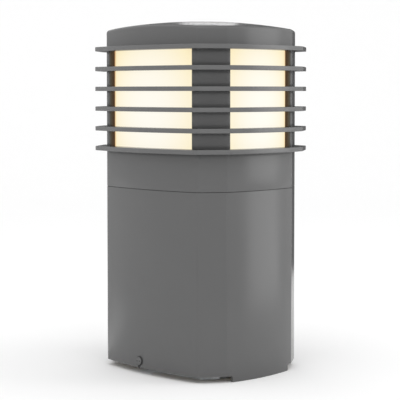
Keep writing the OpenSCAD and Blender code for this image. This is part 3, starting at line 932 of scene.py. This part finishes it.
def buildSeals():
    low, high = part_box("seam_gasket")
    a, b = gasket["outside"], gasket["inside"]
    ring = sweepProfile("seamGasket", [(a, a, high.z), (a, a, low.z), (b, b, low.z), (b, b, high.z)])
    finishPiece(ring, "rubber", "housing", ["seam_gasket"])
    for name, node in (("lowerSeal", "lower_seal"), ("upperSeal", "upper_seal")):
        low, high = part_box(node)
        seal = sweepOutlines(name, sleeveRows(low.z, high.z, diffuser["lip"]))
        softenEdges(seal, diffuser["edge"])
        finishPiece(seal, "rubber", "housing", [node])


buildTube()
buildCollar()
buildFins()
buildPosts()
buildDiffuser()
buildCap()
buildSeals()
print("housing built")


screw = {
    "shank": 0.0025,
    "head": 0.0045,
    "headHeight": 0.0011,
    "edge": 0.0004,
    "eye": 0.0007,
    "eyeAt": 0.0022,
    "eyeDepth": 0.0008,
    "washer": 0.0053,
    "washerHeight": 0.0005,
    "washerClear": 0.00005,
    "length": 0.018,
}


def turned(name, profile, ring=False, sides=64):
    # turned round its own Z axis from (radius, height) points: both ends on the axis, or a ring
    bm = bmesh.new()
    rows = []
    for radius, height in profile:
        count = sides if radius > 0 else 1
        turn = [2 * math.pi * k / sides for k in range(count)]
        rows.append([bm.verts.new((radius * math.cos(a), radius * math.sin(a), height)) for a in turn])
    for row, after in zip(rows, rows[1:] + rows[:1] if ring else rows[1:]):
        for k in range(sides):
            n = (k + 1) % sides
            corners = [row[k % len(row)], row[n % len(row)], after[n % len(after)], after[k % len(after)]]
            bm.faces.new(list(dict.fromkeys(corners)))
    bmesh.ops.recalc_face_normals(bm, faces=bm.faces)
    return linkMesh(name, bm)


def intoWall(piece, node, side, stand):
    # from its own Z axis on to a wide face, standing off the face by the given height
    low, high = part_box(node)
    x, z = (low.x + high.x) / 2, (low.z + high.z) / 2
    face = -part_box("fixing_washer_front")[1].y
    for v in piece.data.vertices:
        a, c, h = v.co
        v.co = (x - a * side, side * (face + stand + h), z + c)


def buildScrew(side, place, body):
    s = screw
    r, h, e, t = s["head"], s["headHeight"], s["edge"], s["washerHeight"]
    shank, length = s["shank"], s["length"]
    profile = [(0, -length), (shank - e, -length), (shank, e - length), (shank, 0)]
    profile += [(r - e / 2, 0), (r, e / 2)]
    profile += arcAbout((r - e, h - e), e, 0, math.pi / 2, 6) + [(0, h)]
    piece = turned("fixingScrew" + place, profile)
    for x in (-s["eyeAt"], s["eyeAt"]):
        cutAway(piece, zCylinder("eye", x, 0, h - s["eyeDepth"], h + past, s["eye"], 24))
    intoWall(piece, "fixing_screw_" + place.lower(), side, t)
    finishPiece(piece, "litScrewCoat", body, ["fixing_screw_" + place.lower()])
    outer, inner = s["washer"], shank + s["washerClear"]
    profile = [(inner, 0), (outer - e / 2, 0), (outer, e / 2)]
    profile += [(outer, t - e / 2), (outer - e / 2, t), (inner, t)]
    washer = turned("sealWasher" + place, profile, True)
    intoWall(washer, "fixing_washer_" + place.lower(), side, 0)
    finishPiece(washer, "rubber", body, ["fixing_washer_" + place.lower()])


buildScrew(-1, "Front", "front_screw")
buildScrew(1, "Rear", "rear_screw")
print("screws built")


lead = {
    "radius": 0.0013,
    "turn": 0.00008,       # a lead is this much fatter where it turns
    "bend": 0.012,
    "bendShare": 0.48,     # a bend takes no more of a stretch than this
    "bendSteps": 10,
    "roundness": 5,
    "weld": 0.000001,
    "shelfClear": (0.032, 0.012),
    "earthTurns": (0.104, 0.088, 0.060),
    "earthMiddle": 0.002,
    "lugRadius": 0.0045,
    "lugHole": 0.0027,
    "lugThick": 0.001,
    "lugReach": 0.010,
    "tailHalf": 0.002,
    "tailClear": 0.0004,
}


def smoothRoute(points):
    # straight stretches with their corners turned into even bends
    bend, most, count = lead["bend"], lead["bendShare"], lead["bendSteps"]
    route = [points[0]]
    for before, corner, after in zip(points, points[1:], points[2:]):
        a = corner.lerp(before, min(most, bend / (before - corner).length))
        b = corner.lerp(after, min(most, bend / (after - corner).length))
        for i in range(count + 1):
            t = i / count
            route.append(a.lerp(corner, t).lerp(corner.lerp(b, t), t))
    return route + [points[-1]]


def sweepLead(name, points):
    curve = bpy.data.curves.new(name, "CURVE")
    curve.dimensions = "3D"
    curve.bevel_depth = lead["radius"]
    curve.bevel_resolution = lead["roundness"]
    curve.use_fill_caps = True
    route = smoothRoute(points)
    spline = curve.splines.new("POLY")
    spline.points.add(len(route) - 1)
    for point, place in zip(spline.points, route):
        point.co = (*place, 1)
    line = bpy.data.objects.new(name + "Line", curve)
    bpy.context.scene.collection.objects.link(line)
    mesh = bpy.data.meshes.new_from_object(line.evaluated_get(bpy.context.evaluated_depsgraph_get()))
    bm = bmesh.new()
    bm.from_mesh(mesh)
    bmesh.ops.remove_doubles(bm, verts=bm.verts, dist=lead["weld"])
    bmesh.ops.recalc_face_normals(bm, faces=bm.faces)
    bpy.data.objects.remove(line)
    bpy.data.meshes.remove(mesh)
    return linkMesh(name, bm)


def leadEnds(node):
    # the two upright stretches of a lead stand in opposite corners of its box
    low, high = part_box(node)
    m = lead["radius"] + lead["turn"]
    return Vector((low.x + m, high.y - m, low.z)), Vector((high.x - m, low.y + m, high.z))


def buildLeads():
    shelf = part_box("lamp_shelf")[0].z
    for name, node, finish in (("liveLead", "live_lead", "brown"), ("neutralLead", "neutral_lead", "blue")):
        start, end = leadEnds(node)
        first, second = [shelf - clear for clear in lead["shelfClear"]]
        points = [start, Vector((start.x, start.y, first)), Vector((end.x, end.y, second)), end]
        finishPiece(sweepLead(name, points), finish, "base", [node])
    low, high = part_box("earth_lead")
    start, end = leadEnds("earth_lead")
    stud = (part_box("earth_stud")[0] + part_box("earth_stud")[1]) / 2
    first, second, third = lead["earthTurns"]
    foot = Vector((stud.x, stud.y - lead["lugReach"], low.z + lead["lugThick"] / 2))
    points = [
        Vector((start.x, start.y, high.z)),
        Vector((start.x, start.y, first)),
        Vector((start.x, lead["earthMiddle"], second)),
        Vector((foot.x, foot.y, third)),
        foot,
    ]
    wire = sweepLead("earthLead", points)
    hole, rim, thick = lead["lugHole"], lead["lugRadius"], lead["lugThick"]
    lug = turned("lug", [(hole, 0), (rim, 0), (rim, thick), (hole, thick)], True)
    for v in lug.data.vertices:
        v.co += Vector((stud.x, stud.y, low.z))
    half, tailEnd = lead["tailHalf"], stud.y - hole - lead["tailClear"]
    tail = boxMesh("tail", (stud.x - half, low.y, low.z), (stud.x + half, tailEnd, low.z + thick))
    cutAway(lug, tail, "UNION")
    wireFaces = len(wire.data.polygons)
    finishPiece(joined([wire, lug]), "green", "base", ["earth_lead"])
    wire.data.materials.append(finishes["nickel"])
    for face in wire.data.polygons[wireFaces:]:
        face.material_index = 1


buildLeads()
print("leads built")


nodeFinish = {
    "galvanised": ["base_plate", "screw_blocks", "gear_column", "lamp_shelf"],
    "steel": ["column_screws", "shelf_screws", "holder_screws", "tie_rods", "rod_nuts", "rod_washers"],
    "brass": ["holder_shell", "holder_contact", "terminal_screws", "earth_stud", "bulb_contact"],
    "nickel": ["bulb_base"],
    "rubber": ["cable_grommet"],
    "porcelain": ["holder_body", "terminal_block"],
    "whitePlastic": ["bulb_body"],
    "opal": ["bulb_globe"],
}
for finish, names in nodeFinish.items():
    for name in names:
        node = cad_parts[name]
        node.data.materials.clear()
        node.data.materials.append(finishes[finish])
print("inner parts finished")


studio = {"world": 1.07, "aimHeight": 0.3}

softboxes = {
    "rightBox": {"azimuth": 43.5, "distance": 1.3, "height": 0.35, "size": (0.66, 1.6), "power": 4.6},
    "backBox": {"azimuth": 134.3, "distance": 0.9, "height": 0.63, "size": (0.12, 0.09), "power": 0.075},
    "topBox": {"azimuth": -60, "distance": 0.9, "height": 1.9, "size": (1.4, 1.4), "power": 4},
}

# Cards that only reflections see: corners as (degrees round, metres out, height)
cards = {
    "sideCard": {
        "shade": 0.1,
        "corners": ((98, 1.05, 0), (127, 1.05, 0), (127, 1.05, 2.2), (98, 1.05, 2.2)),
    },
    "backCard": {
        "shade": 0.21,
        "corners": ((127, 1.05, 0), (152, 1.05, 0), (152, 1.05, 2.2), (127, 1.05, 2.2)),
    },
    "floorCard": {
        "shade": 1.75,
        "corners": ((-154.5, 0.12, 0), (-145.3, 0.12, 0), (-145.3, 0.6, 0), (-154.5, 1.5, 0)),
    },
}
cardLift = 0.001      # so that no card lies in the floor

backdrop = {
    "front": -4.0,
    "back": 2.0,
    "sweep": 1.5,
    "height": 5.0,
    "halfWidth": 6,
    "shade": (0.93, 0.93, 0.93, 1),
    "roughness": 0.9,
}


def plainMaterial(name, settings):
    material = bpy.data.materials.new(name)
    material.use_nodes = True
    for key, value in settings.items():
        material.node_tree.nodes["Principled BSDF"].inputs[key].default_value = value
    return material


def addSoftbox(name):
    s = softboxes[name]
    data = bpy.data.lights.new(name, "AREA")
    data.shape = "RECTANGLE"
    data.size, data.size_y = s["size"]
    data.energy = s["power"]
    obj = bpy.data.objects.new(name, data)
    a = math.radians(s["azimuth"])
    obj.location = (s["distance"] * math.cos(a), s["distance"] * math.sin(a), s["height"])
    aim = Vector((0, 0, studio["aimHeight"])) - obj.location
    obj.rotation_euler = aim.to_track_quat("-Z", "Y").to_euler()
    obj.visible_camera = False
    bpy.context.scene.collection.objects.link(obj)


def addFloor():
    # a pale floor that sweeps up far behind the object
    bm = bmesh.new()
    heading = math.radians(camera["heading"])
    back = Vector((-math.sin(heading), math.cos(heading)))
    across = Vector((back.y, -back.x))
    b, r = backdrop, backdrop["sweep"]
    profile = [(b["front"], 0)] + arcAbout((b["back"], r), r, -math.pi / 2, 0, 12)
    profile.append((b["back"] + r, b["height"]))
    rows = []
    for d, z in profile:
        rows.append([bm.verts.new((*(back * d + across * s), z)) for s in (-b["halfWidth"], b["halfWidth"])])
    for row, after in zip(rows, rows[1:]):
        bm.faces.new((row[0], row[1], after[1], after[0]))
    floor = linkMesh("floor", bm)
    floor.data.shade_smooth()
    floor.data.materials.append(plainMaterial("paleFloor", {
        "Base Color": b["shade"],
        "Roughness": b["roughness"],
        "Specular IOR Level": 0.0,
    }))


def addCard(name):
    card = cards[name]
    bm = bmesh.new()
    corners = []
    for turn, out, height in card["corners"]:
        a = math.radians(turn)
        corners.append(bm.verts.new((out * math.cos(a), out * math.sin(a), height + cardLift)))
    bm.faces.new(corners)
    obj = linkMesh(name, bm)
    obj.data.materials.append(plainMaterial(name + "Glow", {
        "Base Color": (0, 0, 0, 1),
        "Specular IOR Level": 0.0,
        "Emission Color": (1, 1, 1, 1),
        "Emission Strength": card["shade"],
    }))
    for ray in ("camera", "diffuse", "shadow", "transmission"):
        setattr(obj, "visible_" + ray, False)


addFloor()
for cardName in cards:
    addCard(cardName)
for boxName in softboxes:
    addSoftbox(boxName)
world = bpy.data.worlds.new("studio")
world.use_nodes = True
world.node_tree.nodes["Background"].inputs[0].default_value = (1, 1, 1, 1)
world.node_tree.nodes["Background"].inputs[1].default_value = studio["world"]
bpy.context.scene.world = world
bpy.context.scene.view_settings.view_transform = "Standard"
print("studio ready")
